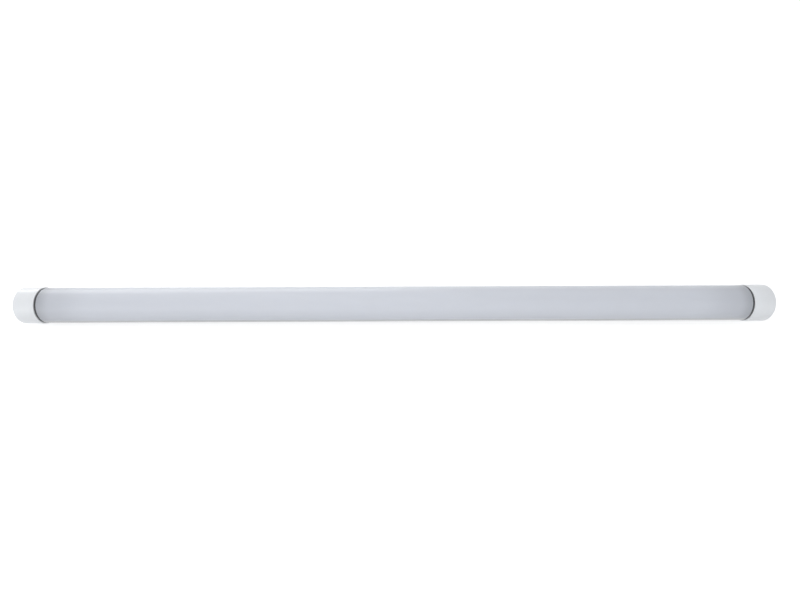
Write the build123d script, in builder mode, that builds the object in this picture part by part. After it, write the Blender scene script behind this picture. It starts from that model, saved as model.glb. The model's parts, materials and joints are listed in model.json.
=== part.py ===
from build123d import *
import os
from math import sqrt

os.makedirs("parts", exist_ok=True)

# A linear LED tube, 600 mm class, with a two-pin cap at each end. Millimetres.
# The tube's axis is X, the milky cover is on top (+Z), and the origin is on the axis at mid-length.

# Overall sizes
face_to_face = 589.0  # between the flat end faces of the two caps
tube_d = 28.0
cap_lip = 0.5  # how far a cap stands proud of the tube
cap_length = 18.0  # from the end of the tube to the cap's end face

# Milky cover
diffuser_wall = 1.0
hook_reach = 2.2  # inward from the inside of the wall
hook_t = 0.7
hook_play = 0.1  # above and below a hook in its groove
hook_tip_play = 0.2

# Heat sink
seam_z = -0.3  # joint line between heat sink and cover
fin_depth = 0.7
fin_root_wall = 0.9
fin_groove_w = 1.2
fin_groove_count = 12
fin_groove_arc = 110.0  # degrees round the underside
flange_t = 1.0
groove_wall_t = 1.0
shelf_t = 1.0
shelf_play = 0.4  # from the shelf's edge to the cover
rail_t = 1.0
rail_lip_reach = 1.2
rail_lip_t = 0.7
port_r = 2.3
port_bore_r = 1.25
port_slot_w = 0.9
port_sink = 0.3  # how far a screw port is sunk into the wall and the flange

# LED board and LEDs
board_w = 14.0
board_t = 1.2
board_inset = 2.0  # from the end of the heat sink
board_side_play = 0.2
board_top_play = 0.1
led_count = 48
led_pitch = 11.2
led_length = 3.5
led_width = 2.8
led_height = 0.7
led_rim = 0.45
led_cup_depth = 0.35
phosphor_play = 0.02

# End caps
end_wall = 2.5
cap_edge = 0.9  # bevel round the end face
seal_gap = 1.6  # width of the groove between cap and tube, which holds the dark seal ring
seal_depth = 0.6  # of the groove, below the tube's surface
seal_sink = 0.1  # of the ring, below the tube's surface
seal_play = 0.05  # on each side of the ring and under it
register_t = 0.9  # wall of the ring that butts against the tube
tongue_t = 1.0
tongue_reach = 5.0  # into the cover
tongue_play = 0.15
tongue_base_z = 6.0
pillar_r = 2.5
pillar_bore_r = 1.6
barrier_t = 1.2
barrier_h = 10.0
barrier_reach = 8.0

# Contact pins
pin_spacing = 12.7
pin_d = 2.35
pin_length = 7.1
pin_play = 0.05
pin_tip_edge = 0.5
pin_tip_wall = 2.0
pin_stem_r = 1.55  # the thicker stem in the cap's wall
pin_tail_length = 3.8  # inside the cap

# Cap screws
screw_head_r = 2.2
screw_head_h = 1.5
screw_shank_r = 1.2
screw_length = 25.0
screw_head_play = 0.2  # round the head and between its top and the cap's face

# Driver in its sleeve
sleeve_wall = 0.4
sleeve_corner_r = 2.0
sleeve_side_play = 0.3
sleeve_seat_play = 0.2
sleeve_overhang = 3.0
driver_length = 150.0
driver_inset = 8.0  # from the end of the heat sink
driver_t = 1.2
driver_side_play = 0.3
driver_seat_play = 0.1
part_top_play = 0.3  # over the tallest parts on the driver board
first_station = 14.0  # from the board's end to the middle of the first part
last_station = 10.0

# Leads and wires
lead_w = 0.5
lead_root = 0.5
wire_r = 0.6
wire_sides = 6  # a wire's round section is drawn as a hexagon
wire_bend_r = 2.5
wire_play = 0.05
wire_insert = 2.5  # into a pin's tail
wire_landing = 4.0  # from the end of a board to the end of a wire on it
feed_wire_y = 2.2
output_wire_inset = 1.6  # from the driver board's edge
board_wire_inset = 3.8  # from the LED board's edge
wire_run_out = 3.5  # straight out of a pin's tail
wire_entry = 1.5  # inside the end of the heat sink
output_turn = 5.5  # from the inside of the cap's end wall
link_turn = 2.5  # behind the barrier

# What follows from those sizes
tube_r = tube_d / 2
cap_r = tube_r + cap_lip
face_x = face_to_face / 2
body_half = face_x - cap_length
body_length = 2 * body_half
inner_x = face_x - end_wall
cap_root_x = inner_x + end_wall / 2  # where what stands inside a cap is rooted in its end wall
rim_x = body_half + seal_gap
register_r = tube_r - seal_depth
skirt_in_r = register_r - register_t

diffuser_in_r = tube_r - diffuser_wall
hook_tip_y = diffuser_in_r - hook_reach
hook_low_z = seam_z + hook_play

trough_r = tube_r - fin_depth - fin_root_wall
groove_out_y = hook_tip_y - hook_tip_play
groove_in_y = groove_out_y - groove_wall_t
flange_low_z = seam_z - flange_t
shelf_low_z = seam_z + hook_t + 2 * hook_play
shelf_top_z = shelf_low_z + shelf_t
shelf_edge_y = diffuser_in_r - shelf_play
port_z = flange_low_z - port_r + port_sink
port_y = sqrt((trough_r + port_sink - port_r) ** 2 - port_z**2)

board_length = body_length - 2 * board_inset
board_top_z = shelf_top_z + board_t
rail_in_y = board_w / 2 + board_side_play
rail_lip_z = board_top_z + board_top_play

sleeve_w = 2 * (port_y - port_r - sleeve_side_play)
sleeve_top_z = shelf_low_z - sleeve_side_play
corner_y = sleeve_w / 2 - sleeve_corner_r
corner_z = -sqrt((trough_r - sleeve_seat_play - sleeve_corner_r) ** 2 - corner_y**2)
sleeve_low_z = corner_z - sleeve_corner_r
driver_w = sleeve_w - 2 * (sleeve_wall + driver_side_play)
inner_corner_r = sleeve_corner_r - sleeve_wall
driver_low_z = corner_z - sqrt(inner_corner_r**2 - (driver_w / 2 - corner_y) ** 2) + driver_seat_play
driver_top_z = driver_low_z + driver_t
driver_start_x = -body_half + driver_inset
tallest = sleeve_top_z - sleeve_wall - part_top_play - driver_top_z

pin_y = pin_spacing / 2
pin_r = pin_d / 2
tail_end_x = inner_x - pin_tail_length
screw_recess_r = screw_head_r + screw_head_play
screw_recess_depth = screw_head_h + screw_head_play
screw_seat_x = face_x - screw_recess_depth


def bars(y_in, y_out, z_low, z_high, mode=Mode.ADD):
    """A rectangle of the tube's section, and the same one across the middle of the tube."""
    y_mid = (y_in + y_out) / 2
    z_mid = (z_low + z_high) / 2
    with Locations((y_mid, z_mid), (-y_mid, z_mid)):
        Rectangle(y_out - y_in, z_high - z_low, mode=mode)


# Heat sink: one extrusion with a finned trough, cover grooves, screw ports, a shelf and board rails
with BuildPart() as heat_sink:
    with BuildSketch(Plane.YZ.offset(-body_half)):
        Circle(tube_r)
        Circle(trough_r, mode=Mode.SUBTRACT)
        with Locations((0, seam_z)):
            Rectangle(2 * tube_d, tube_d, align=(Align.CENTER, Align.MIN), mode=Mode.SUBTRACT)
        bars(groove_in_y, tube_r - fin_depth, flange_low_z, seam_z)
        bars(groove_in_y, groove_out_y, seam_z, shelf_low_z)
        bars(0, shelf_edge_y, shelf_low_z, shelf_top_z)
        bars(rail_in_y, rail_in_y + rail_t, shelf_top_z, rail_lip_z + rail_lip_t)
        bars(rail_in_y - rail_lip_reach, rail_in_y, rail_lip_z, rail_lip_z + rail_lip_t)
        with Locations((port_y, port_z), (-port_y, port_z)):
            Circle(port_r)
            Circle(port_bore_r, mode=Mode.SUBTRACT)
        slot_half = port_slot_w / 2
        bars(port_y - port_r - port_slot_w, port_y, port_z - slot_half, port_z + slot_half, Mode.SUBTRACT)
        with PolarLocations(tube_r, fin_groove_count, -90 - fin_groove_arc / 2, fin_groove_arc, endpoint=True):
            Rectangle(2 * fin_depth, fin_groove_w, mode=Mode.SUBTRACT)
    extrude(amount=body_length)
heat_sink.part.label = "heat_sink"
export_step(heat_sink.part, "parts/heat_sink.step")

# Milky cover: an extruded arc whose hooks slide into the grooves of the heat sink
with BuildPart() as diffuser:
    with BuildSketch(Plane.YZ.offset(-body_half)):
        Circle(tube_r)
        Circle(diffuser_in_r, mode=Mode.SUBTRACT)
        with Locations((0, hook_low_z)):
            Rectangle(2 * tube_d, tube_d, align=(Align.CENTER, Align.MAX), mode=Mode.SUBTRACT)
        bars(hook_tip_y, tube_r - diffuser_wall / 2, hook_low_z, hook_low_z + hook_t)
    extrude(amount=body_length)
diffuser.part.label = "diffuser"
export_step(diffuser.part, "parts/diffuser.step")

# LED board: a long strip that slides under the rails
with BuildPart() as led_board:
    with BuildSketch(Plane.XY.offset(shelf_top_z)):
        Rectangle(board_length, board_w)
    extrude(amount=board_t)
led_board.part.label = "led_board"
export_step(led_board.part, "parts/led_board.step")

# LEDs: white housings with a cup, in one row along the board
cup_length = led_length - 2 * led_rim
cup_width = led_width - 2 * led_rim
led_top_z = board_top_z + led_height
with BuildPart() as led_packages:
    with BuildSketch(Plane.XY.offset(board_top_z)):
        with GridLocations(led_pitch, 1, led_count, 1):
            Rectangle(led_length, led_width)
    extrude(amount=led_height)
    with BuildSketch(Plane.XY.offset(led_top_z)):
        with GridLocations(led_pitch, 1, led_count, 1):
            Rectangle(cup_length, cup_width)
    extrude(amount=-led_cup_depth, mode=Mode.SUBTRACT)
led_packages.part.label = "led_packages"
export_step(led_packages.part, "parts/led_packages.step")

# Yellow phosphor that fills each cup
with BuildPart() as led_phosphors:
    with BuildSketch(Plane.XY.offset(led_top_z - led_cup_depth)):
        with GridLocations(led_pitch, 1, led_count, 1):
            Rectangle(cup_length - 2 * phosphor_play, cup_width - 2 * phosphor_play)
    extrude(amount=led_cup_depth - phosphor_play)
led_phosphors.part.label = "led_phosphors"
export_step(led_phosphors.part, "parts/led_phosphors.step")

# End caps: a moulded cup with a register ring, two screw pillars, a locating tongue and a pin barrier
with BuildPart() as end_cap_right:
    with BuildSketch(Plane.XZ):
        with BuildLine():
            Polyline(
                (body_half, skirt_in_r),
                (body_half, register_r),
                (rim_x, register_r),
                (rim_x, cap_r),
                (face_x - cap_edge, cap_r),
                (face_x, cap_r - cap_edge),
                (face_x, 0),
                (inner_x, 0),
                (inner_x, skirt_in_r),
                close=True,
            )
        make_face()
    revolve(axis=Axis.X)
    with BuildSketch(Plane.YZ.offset(body_half)):
        with Locations((port_y, port_z), (-port_y, port_z)):
            Circle(pillar_r)
    extrude(amount=cap_root_x - body_half)
    with BuildSketch(Plane.YZ.offset(body_half - tongue_reach)):
        Circle(diffuser_in_r - tongue_play)
        Circle(diffuser_in_r - tongue_play - tongue_t, mode=Mode.SUBTRACT)
        with Locations((0, tongue_base_z)):
            Rectangle(2 * tube_d, 2 * tube_d, align=(Align.CENTER, Align.MAX), mode=Mode.SUBTRACT)
    extrude(amount=cap_root_x - body_half + tongue_reach)
    with BuildSketch(Plane.YZ.offset(inner_x - barrier_reach)):
        Rectangle(barrier_t, barrier_h)
    extrude(amount=cap_root_x - inner_x + barrier_reach)
    with Locations(*[Plane(origin=(face_x, y, port_z), z_dir=(1, 0, 0)) for y in (-port_y, port_y)]):
        CounterBoreHole(pillar_bore_r, screw_recess_r, screw_recess_depth)
    with Locations(*[Plane(origin=(face_x, y, 0), z_dir=(1, 0, 0)) for y in (-pin_y, pin_y)]):
        Hole(pin_stem_r + pin_play)
end_cap_right.part.label = "end_cap_right"
export_step(end_cap_right.part, "parts/end_cap_right.step")

with BuildPart() as end_cap_left:
    mirror(end_cap_right.part, about=Plane.YZ)
end_cap_left.part.label = "end_cap_left"
export_step(end_cap_left.part, "parts/end_cap_left.step")

# Seal rings: dark elastomer rings round the registers, one at each end
with BuildPart() as seal_rings:
    for end in (-1, 1):
        with BuildSketch(Plane.YZ.offset(end * (body_half + seal_gap / 2))):
            Circle(tube_r - seal_sink)
            Circle(register_r + seal_play, mode=Mode.SUBTRACT)
        extrude(amount=seal_gap / 2 - seal_play, both=True)
seal_rings.part.label = "seal_rings"
export_step(seal_rings.part, "parts/seal_rings.step")

# Contact pins: a bevelled tip, a thicker stem in the cap's wall, and a hollow tail that takes the wire
ends = {"left": -1, "right": 1}
rows = {"front": -1, "rear": 1}
for end_name, end in ends.items():
    for row_name, row in rows.items():
        with BuildPart() as pin:
            with BuildSketch(Plane.XZ.offset(-row * pin_y)) as pin_section:
                with BuildLine():
                    Polyline(
                        (end * (face_x + pin_length), 0),
                        (end * (face_x + pin_length), pin_r),
                        (end * face_x, pin_r),
                        (end * face_x, pin_stem_r),
                        (end * tail_end_x, pin_stem_r),
                        (end * tail_end_x, wire_r + wire_play),
                        (end * (face_x + pin_length - pin_tip_wall), wire_r + wire_play),
                        (end * (face_x + pin_length - pin_tip_wall), 0),
                        close=True,
                    )
                make_face()
                tip = pin_section.vertices().sort_by_distance((end * (face_x + pin_length), pin_r))[0]
                chamfer(tip, pin_tip_edge)
            revolve(axis=Axis((0, row * pin_y, 0), (1, 0, 0)))
        pin.part.label = f"pin_{end_name}_{row_name}"
        export_step(pin.part, f"parts/pin_{end_name}_{row_name}.step")

# Cap screws: four alike, through the pillars into the screw ports
screw_seats = [
    Plane(origin=(end * screw_seat_x, row * port_y, port_z), z_dir=(end, 0, 0))
    for end in ends.values()
    for row in rows.values()
]
on_seat = (Align.CENTER, Align.CENTER, Align.MIN)
below_seat = (Align.CENTER, Align.CENTER, Align.MAX)
with BuildPart() as cap_screws:
    with Locations(*screw_seats):
        Cylinder(screw_head_r, screw_head_h, align=on_seat)
        Cylinder(screw_shank_r, screw_length, align=below_seat)
cap_screws.part.label = "cap_screws"
export_step(cap_screws.part, "parts/cap_screws.step")

# Insulating sleeve: rests in the trough between the screw ports
sleeve_mid_z = (sleeve_top_z + sleeve_low_z) / 2
sleeve_h = sleeve_top_z - sleeve_low_z
with BuildPart() as driver_sleeve:
    with BuildSketch(Plane.YZ.offset(driver_start_x - sleeve_overhang)):
        with Locations((0, sleeve_mid_z)):
            RectangleRounded(sleeve_w, sleeve_h, sleeve_corner_r)
            RectangleRounded(
                sleeve_w - 2 * sleeve_wall,
                sleeve_h - 2 * sleeve_wall,
                inner_corner_r,
                mode=Mode.SUBTRACT,
            )
    extrude(amount=driver_length + 2 * sleeve_overhang)
driver_sleeve.part.label = "driver_sleeve"
export_step(driver_sleeve.part, "parts/driver_sleeve.step")

# Driver board: its lower edges rest on the sleeve's rounded corners
with BuildPart() as driver_board:
    with BuildSketch(Plane.XY.offset(driver_low_z)):
        with Locations((driver_start_x, 0)):
            Rectangle(driver_length, driver_w, align=(Align.MIN, Align.CENTER))
    extrude(amount=driver_t)
driver_board.part.label = "driver_board"
export_step(driver_board.part, "parts/driver_board.step")

# The parts on the driver board stand at even stations along it, from the mains side to the output side
station_names = (
    "mains_fuse",
    "varistor",
    "film_capacitor",
    "choke",
    "bridge_rectifier",
    "input_capacitor",
    "driver_chip",
    "transformer",
    "output_diode",
    "output_capacitor",
)
station_pitch = (driver_length - first_station - last_station) / (len(station_names) - 1)
station_x = {
    name: driver_start_x + first_station + place * station_pitch
    for place, name in enumerate(station_names)
}


def bent_lead(x_face, reach, y, z):
    """A square lead of the part being built: out of its end face by reach, then down to the board."""
    root_x = x_face - (lead_root if reach > 0 else -lead_root)
    with BuildSketch(Plane.XZ.offset(-y - lead_w / 2)) as outline:
        with Locations(((root_x + x_face + reach) / 2, z)):
            Rectangle(abs(x_face + reach - root_x) + lead_w, lead_w)
        with Locations((x_face + reach, (driver_top_z + z) / 2)):
            Rectangle(lead_w, z - driver_top_z)
    extrude(outline.sketch, amount=lead_w)


def lying_capacitor(x_mid, can_length):
    """An electrolytic capacitor that lies along the board on two bent leads."""
    can_r = tallest / 2
    lead_reach = 1.4
    lead_y = 1.25
    x_base = x_mid - can_length / 2
    axis_z = driver_top_z + can_r
    with BuildPart() as can:
        with BuildSketch(Plane.YZ.offset(x_base)):
            with Locations((0, axis_z)):
                Circle(can_r)
        extrude(amount=can_length)
        for y in (-lead_y, lead_y):
            bent_lead(x_base, -lead_reach, y, axis_z)
    return can.part


def leaded_package(x_mid, length, width, height, legs, pitch):
    """A flat black package on bent legs, with the same number of legs along each long side."""
    standoff = 0.1
    mould_draft = 4  # degrees
    leg_w = 0.4
    leg_t = 0.2
    leg_root = 0.6
    foot = 1.0
    with BuildPart() as package:
        with BuildSketch(Plane.XY.offset(driver_top_z + standoff)):
            with Locations((x_mid, 0)):
                Rectangle(length, width)
        extrude(amount=height, taper=mould_draft)
        for side in (-1, 1):
            with BuildSketch(Plane.XY.offset(driver_top_z)):
                with Locations((x_mid, side * (width + foot) / 2)):
                    with GridLocations(pitch, 1, legs, 1):
                        Rectangle(leg_w, foot)
            extrude(amount=leg_t)
            with BuildSketch(Plane.XY.offset(driver_top_z)):
                with Locations((x_mid, side * (width + leg_t) / 2)):
                    with GridLocations(pitch, 1, legs, 1):
                        Rectangle(leg_w, leg_root)
            extrude(amount=standoff + height / 2)
    return package.part


# Mains fuse: a moulded block on two legs
fuse_length = 8.0
fuse_w = 4.0
fuse_edge = 0.5
fuse_leg_h = 0.6
with BuildPart() as mains_fuse:
    with BuildSketch(Plane.XY.offset(driver_top_z + fuse_leg_h)):
        with Locations((station_x["mains_fuse"], 0)):
            Rectangle(fuse_length, fuse_w)
    extrude(amount=tallest - fuse_leg_h)
    chamfer(mains_fuse.faces().sort_by(Axis.Z)[-1].edges(), fuse_edge)
    with BuildSketch(Plane.XY.offset(driver_top_z)):
        with Locations((station_x["mains_fuse"], 0)):
            with GridLocations(fuse_length / 2, 1, 2, 1):
                Rectangle(lead_w, lead_w)
    extrude(amount=fuse_leg_h)
mains_fuse.part.label = "mains_fuse"
export_step(mains_fuse.part, "parts/mains_fuse.step")

# Varistor: a disc that stands across the board on two legs
disc_t = 3.2
disc_leg_h = 1.0
disc_leg_y = 2.2
disc_r = (tallest - disc_leg_h) / 2
disc_z = driver_top_z + disc_leg_h + disc_r
with BuildPart() as varistor:
    with BuildSketch(Plane.YZ.offset(station_x["varistor"] - disc_t / 2)):
        with Locations((0, disc_z)):
            Circle(disc_r)
    extrude(amount=disc_t)
    with BuildSketch(Plane.XY.offset(driver_top_z)):
        with Locations((station_x["varistor"], -disc_leg_y), (station_x["varistor"], disc_leg_y)):
            Rectangle(lead_w, lead_w)
    extrude(amount=disc_z - driver_top_z)
varistor.part.label = "varistor"
export_step(varistor.part, "parts/varistor.step")

# Film capacitor: a moulded block with soft edges
film_length = 12.0
film_w = 6.0
film_edge = 0.5
with BuildPart() as film_capacitor:
    with BuildSketch(Plane.XY.offset(driver_top_z)):
        with Locations((station_x["film_capacitor"], 0)):
            Rectangle(film_length, film_w)
    extrude(amount=tallest)
    chamfer(film_capacitor.faces().sort_by(Axis.Z)[-1].edges(), film_edge)
film_capacitor.part.label = "film_capacitor"
export_step(film_capacitor.part, "parts/film_capacitor.step")

# Bridge rectifier, driver chip and output diode: flat packages on legs
bridge_rectifier = leaded_package(
    station_x["bridge_rectifier"], length=4.7, width=3.9, height=2.4, legs=2, pitch=2.5
)
bridge_rectifier.label = "bridge_rectifier"
export_step(bridge_rectifier, "parts/bridge_rectifier.step")

driver_chip = leaded_package(station_x["driver_chip"], length=4.9, width=3.9, height=1.4, legs=4, pitch=1.27)
driver_chip.label = "driver_chip"
export_step(driver_chip, "parts/driver_chip.step")

output_diode = leaded_package(station_x["output_diode"], length=2.6, width=4.3, height=2.1, legs=1, pitch=1)
output_diode.label = "output_diode"
export_step(output_diode, "parts/output_diode.step")

# The two electrolytic capacitors
input_capacitor = lying_capacitor(station_x["input_capacitor"], can_length=16.0)
input_capacitor.label = "input_capacitor"
export_step(input_capacitor, "parts/input_capacitor.step")

output_capacitor = lying_capacitor(station_x["output_capacitor"], can_length=11.0)
output_capacitor.label = "output_capacitor"
export_step(output_capacitor, "parts/output_capacitor.step")

# Chip resistors beside the driver chip
resistor_length = 2.0
resistor_w = 1.25
resistor_t = 0.55
resistor_pitch = 3.2
resistor_y = driver_w / 2 - resistor_w
with BuildPart() as chip_resistors:
    with BuildSketch(Plane.XY.offset(driver_top_z)):
        with Locations((station_x["driver_chip"], 0)):
            with GridLocations(resistor_pitch, 2 * resistor_y, 3, 2):
                Rectangle(resistor_length, resistor_w)
    extrude(amount=resistor_t)
chip_resistors.part.label = "chip_resistors"
export_step(chip_resistors.part, "parts/chip_resistors.step")


def wound_part(name, core_length, core_w):
    """A ferrite core with two windows, a bobbin on its middle leg, and the copper winding on the bobbin."""
    legs_across = 7  # outer legs in the core's width: leg 1, window 1.5, middle leg 2, window 1.5, leg 1
    core_height_share = 0.42  # of the tallest part's height
    core_leg = core_w / legs_across
    core_h = tallest * core_height_share
    bobbin_play = 0.1
    bobbin_wall = 0.4
    bobbin_flange_t = 0.8
    winding_play = 0.05
    winding_step = 0.2
    x_mid = station_x[name]
    z_mid = driver_top_z + tallest / 2
    bobbin_w = core_w - 2 * (core_leg + bobbin_play)
    bobbin_length = core_length - 2 * (core_leg + bobbin_play)
    sleeve_in = 2 * (core_leg + bobbin_play)
    sleeve_in_h = core_h + 2 * bobbin_play
    sleeve_out = sleeve_in + 2 * bobbin_wall
    sleeve_out_h = sleeve_in_h + 2 * bobbin_wall
    winding_length = bobbin_length - 2 * (bobbin_flange_t + winding_play)
    with BuildPart() as core:
        with BuildSketch(Plane.XY.offset(z_mid - core_h / 2)):
            with Locations((x_mid, 0)):
                Rectangle(core_length, core_w)
                Rectangle(core_length - 2 * core_leg, core_w - 2 * core_leg, mode=Mode.SUBTRACT)
                Rectangle(core_length, 2 * core_leg)
        extrude(amount=core_h)
    with BuildPart() as bobbin:
        with BuildSketch(Plane.YZ.offset(x_mid - bobbin_length / 2)):
            with Locations((0, z_mid)):
                Rectangle(bobbin_w, tallest)
        extrude(amount=bobbin_length)
        with BuildSketch(Plane.YZ.offset(x_mid - bobbin_length / 2 + bobbin_flange_t)):
            with Locations((0, z_mid)):
                Rectangle(bobbin_w, tallest)
                Rectangle(sleeve_out, sleeve_out_h, mode=Mode.SUBTRACT)
        extrude(amount=bobbin_length - 2 * bobbin_flange_t, mode=Mode.SUBTRACT)
        with BuildSketch(Plane.YZ.offset(x_mid - bobbin_length / 2)):
            with Locations((0, z_mid)):
                Rectangle(sleeve_in, sleeve_in_h)
        extrude(amount=bobbin_length, mode=Mode.SUBTRACT)
    with BuildPart() as winding:
        with BuildSketch(Plane.YZ.offset(x_mid - winding_length / 2)):
            with Locations((0, z_mid)):
                Rectangle(bobbin_w - 2 * winding_step, tallest - 2 * winding_step)
                Rectangle(sleeve_out + 2 * winding_play, sleeve_out_h + 2 * winding_play, mode=Mode.SUBTRACT)
        extrude(amount=winding_length)
    for piece, piece_name in ((core, "core"), (bobbin, "bobbin"), (winding, "winding")):
        piece.part.label = f"{name}_{piece_name}"
        export_step(piece.part, f"parts/{name}_{piece_name}.step")


# Filter choke and transformer
choke_inset = 1.5  # from the driver board's edges
transformer_inset = 0.75
wound_part("choke", core_length=9.0, core_w=driver_w - 2 * choke_inset)
wound_part("transformer", core_length=12.0, core_w=driver_w - 2 * transformer_inset)


def wire(*points):
    """An insulated wire through the given points, with a tangent arc at each corner."""
    with BuildPart() as conductor:
        with BuildLine() as route:
            FilletPolyline(*points, radius=wire_bend_r)
        with BuildSketch(Plane(origin=route.line @ 0, z_dir=route.line % 0)):
            RegularPolygon(wire_r, wire_sides)
        sweep()
    return conductor.part


# Mains wires: from the tails of the left pins, round the pillars and onto the driver board
driver_wire_z = driver_top_z + wire_r + wire_play
driver_wire_x = driver_start_x + wire_landing
for wire_name, row in (("live_wire", 1), ("neutral_wire", -1)):
    feed_wire = wire(
        (-tail_end_x - wire_insert, row * pin_y, 0),
        (-tail_end_x + wire_run_out, row * pin_y, 0),
        (-body_half + wire_entry, row * feed_wire_y, driver_wire_z),
        (driver_wire_x, row * feed_wire_y, driver_wire_z),
    )
    feed_wire.label = wire_name
    export_step(feed_wire, f"parts/{wire_name}.step")

# Output wires: from the driver board out into the cap, up past the heat sink's end and onto the LED board
led_wire_z = board_top_z + wire_r + wire_play
output_turn_x = -inner_x + output_turn
output_wire_y = driver_w / 2 - output_wire_inset
board_wire_y = board_w / 2 - board_wire_inset
for wire_name, row in (("plus_wire", 1), ("minus_wire", -1)):
    output_wire = wire(
        (driver_wire_x, row * output_wire_y, driver_wire_z),
        (output_turn_x, row * output_wire_y, driver_wire_z),
        (output_turn_x, row * board_wire_y, led_wire_z),
        (-board_length / 2 + wire_landing, row * board_wire_y, led_wire_z),
    )
    output_wire.label = wire_name
    export_step(output_wire, f"parts/{wire_name}.step")

# Link wire: joins the tails of the two right pins behind the barrier
link_x = inner_x - barrier_reach - link_turn
link_wire = wire(
    (tail_end_x + wire_insert, pin_y, 0),
    (link_x, pin_y, 0),
    (link_x, -pin_y, 0),
    (tail_end_x + wire_insert, -pin_y, 0),
)
link_wire.label = "link_wire"
export_step(link_wire, "parts/link_wire.step")
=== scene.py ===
import json
from math import cos, degrees, pi, radians, sin, sqrt

import bmesh
import bpy
from mathutils import Matrix, Vector
from mathutils.geometry import delaunay_2d_cdt

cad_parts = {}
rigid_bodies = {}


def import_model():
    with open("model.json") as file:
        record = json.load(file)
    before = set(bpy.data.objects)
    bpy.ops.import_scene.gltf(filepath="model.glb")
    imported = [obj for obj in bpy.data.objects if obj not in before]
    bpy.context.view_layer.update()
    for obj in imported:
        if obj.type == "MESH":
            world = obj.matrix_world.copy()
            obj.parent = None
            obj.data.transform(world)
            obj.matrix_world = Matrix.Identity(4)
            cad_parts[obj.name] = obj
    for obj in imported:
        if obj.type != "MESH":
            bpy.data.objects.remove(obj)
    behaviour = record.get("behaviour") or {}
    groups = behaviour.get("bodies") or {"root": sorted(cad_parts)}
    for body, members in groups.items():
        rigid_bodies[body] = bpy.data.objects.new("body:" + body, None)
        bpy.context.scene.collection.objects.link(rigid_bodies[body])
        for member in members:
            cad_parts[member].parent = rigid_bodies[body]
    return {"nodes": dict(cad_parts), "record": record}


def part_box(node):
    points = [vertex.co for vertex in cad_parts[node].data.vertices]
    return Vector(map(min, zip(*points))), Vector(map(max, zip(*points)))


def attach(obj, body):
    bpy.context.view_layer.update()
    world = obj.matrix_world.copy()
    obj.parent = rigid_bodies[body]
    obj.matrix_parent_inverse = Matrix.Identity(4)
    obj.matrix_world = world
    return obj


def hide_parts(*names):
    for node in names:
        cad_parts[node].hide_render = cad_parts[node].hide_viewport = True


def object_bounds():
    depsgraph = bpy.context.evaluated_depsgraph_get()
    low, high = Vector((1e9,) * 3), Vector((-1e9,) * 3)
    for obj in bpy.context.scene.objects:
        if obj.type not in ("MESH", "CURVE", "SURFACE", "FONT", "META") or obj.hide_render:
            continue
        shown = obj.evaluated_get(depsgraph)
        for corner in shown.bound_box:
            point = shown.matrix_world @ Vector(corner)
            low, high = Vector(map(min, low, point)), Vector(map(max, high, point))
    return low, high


# A linear LED tube on a white ground, seen from above and in front. Metres.
# The tube's axis is X, the milky cover is on top (+Z), and the camera stands on the -Y side.

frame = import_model()
cad_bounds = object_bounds()

MM = 0.001

# Sizes read from the frame
cover_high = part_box("diffuser")[1]
cap_low, cap_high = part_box("end_cap_right")
pin_low, pin_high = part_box("pin_right_rear")
screws_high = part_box("cap_screws")[1]
seals_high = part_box("seal_rings")[1]
TUBE_R = cover_high.z
BODY_HALF = cover_high.x
CAP_R = cap_high.z
FACE_X = cap_high.x
PIN_END_X = pin_high.x
PIN_Y = (pin_low.y + pin_high.y) / 2
SCREW_TOP_X = screws_high.x
SEAL_R = seals_high.z

# Section of the tube
SEAM_Z = -0.3 * MM
COVER_WALL = 1.0 * MM
HOOK_REACH = 2.2 * MM
HOOK_T = 0.7 * MM
HOOK_PLAY = 0.1 * MM
HOOK_TIP_PLAY = 0.2 * MM
FIN_DEPTH = 0.7 * MM
FIN_ROOT_WALL = 0.9 * MM
FIN_GROOVE_W = 1.2 * MM
FIN_GROOVE_COUNT = 12
FIN_GROOVE_ARC = 110
FLANGE_T = 1.0 * MM
GROOVE_WALL_T = 1.0 * MM
SHELF_T = 1.0 * MM
SHELF_PLAY = 0.4 * MM
BOARD_W = 14.0 * MM
BOARD_T = 1.2 * MM
BOARD_SIDE_PLAY = 0.2 * MM
BOARD_TOP_PLAY = 0.1 * MM
RAIL_T = 1.0 * MM
RAIL_LIP_REACH = 1.2 * MM
RAIL_LIP_T = 0.7 * MM
PORT_R = 2.3 * MM
PORT_BORE_R = 1.25 * MM
PORT_SLOT_W = 0.9 * MM
PORT_SINK = 0.3 * MM

COVER_IN_R = TUBE_R - COVER_WALL
HOOK_TIP_Y = COVER_IN_R - HOOK_REACH
TROUGH_R = TUBE_R - FIN_DEPTH - FIN_ROOT_WALL
FLANGE_LOW_Z = SEAM_Z - FLANGE_T
PORT_Z = FLANGE_LOW_Z - PORT_R + PORT_SINK
PORT_Y = sqrt((TROUGH_R + PORT_SINK - PORT_R) ** 2 - PORT_Z**2)

# End caps, pins and screws
END_WALL = 2.5 * MM
CAP_EDGE_R = 1.2 * MM
RIM_EDGE_R = 0.25 * MM
SEAL_GAP = 1.6 * MM
SEAL_DEPTH = 0.6 * MM
SEAL_PLAY = 0.05 * MM
SEAL_ROUND = 0.2 * MM
REGISTER_T = 0.9 * MM
TONGUE_T = 1.0 * MM
TONGUE_REACH = BODY_HALF - cap_low.x
TONGUE_PLAY = 0.15 * MM
TONGUE_BASE_Z = 6.0 * MM
PILLAR_R = 2.5 * MM
PILLAR_BORE_R = 1.6 * MM
BARRIER_T = 1.2 * MM
BARRIER_H = 10.0 * MM
BARRIER_REACH = 8.0 * MM
PIN_R = 1.175 * MM
PIN_STEM_R = 1.55 * MM
PIN_PLAY = 0.05 * MM
PIN_TIP_R = 0.9 * MM
PIN_BORE_R = 0.65 * MM
PIN_TIP_WALL = 2.0 * MM
SCREW_HEAD_R = 2.2 * MM
SCREW_HEAD_H = 1.5 * MM
SCREW_HEAD_EDGE = 0.45 * MM
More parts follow.
